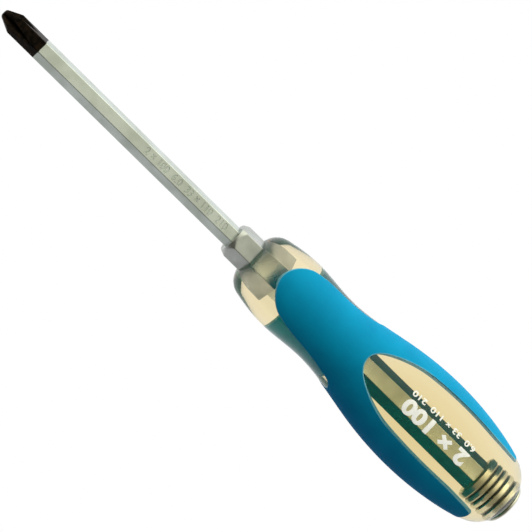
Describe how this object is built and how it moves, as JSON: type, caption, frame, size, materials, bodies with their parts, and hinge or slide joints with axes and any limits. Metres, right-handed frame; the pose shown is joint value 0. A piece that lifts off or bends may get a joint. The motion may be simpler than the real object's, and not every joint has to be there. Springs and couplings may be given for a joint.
{
  "type": "screwdriver",
  "caption": "Go-through screwdriver with a cross-slot point, a hexagonal blade and collar, a clear handle with a soft grip, and a steel strike cap.",
  "frame": {"origin": "centre of the blunt end of the cross-slot point, on the tool's axis", "axes": "+X runs along the tool's axis from the point to the strike cap; +Z is square to one face of the blade and to one flat of the collar, and passes through the middle of a rear window; +Y completes a right-handed frame"},
  "size_m": [0.21, 0.0328, 0.0324],
  "materials": {
    "blade_steel": "satin nickel plated, with a black point",
    "collar_steel": "satin nickel plated",
    "clear_handle": "clear cellulose acetate with a slight amber tint, polished",
    "soft_grip": "matt blue thermoplastic rubber",
    "cap_steel": "plated, ground strike face"
  },
  "bodies": {
    "root": {"blade": "blade_steel", "collar": "collar_steel", "handle": "clear_handle", "grip": "soft_grip", "strike_cap": "cap_steel"}
  },
  "joints": []
}
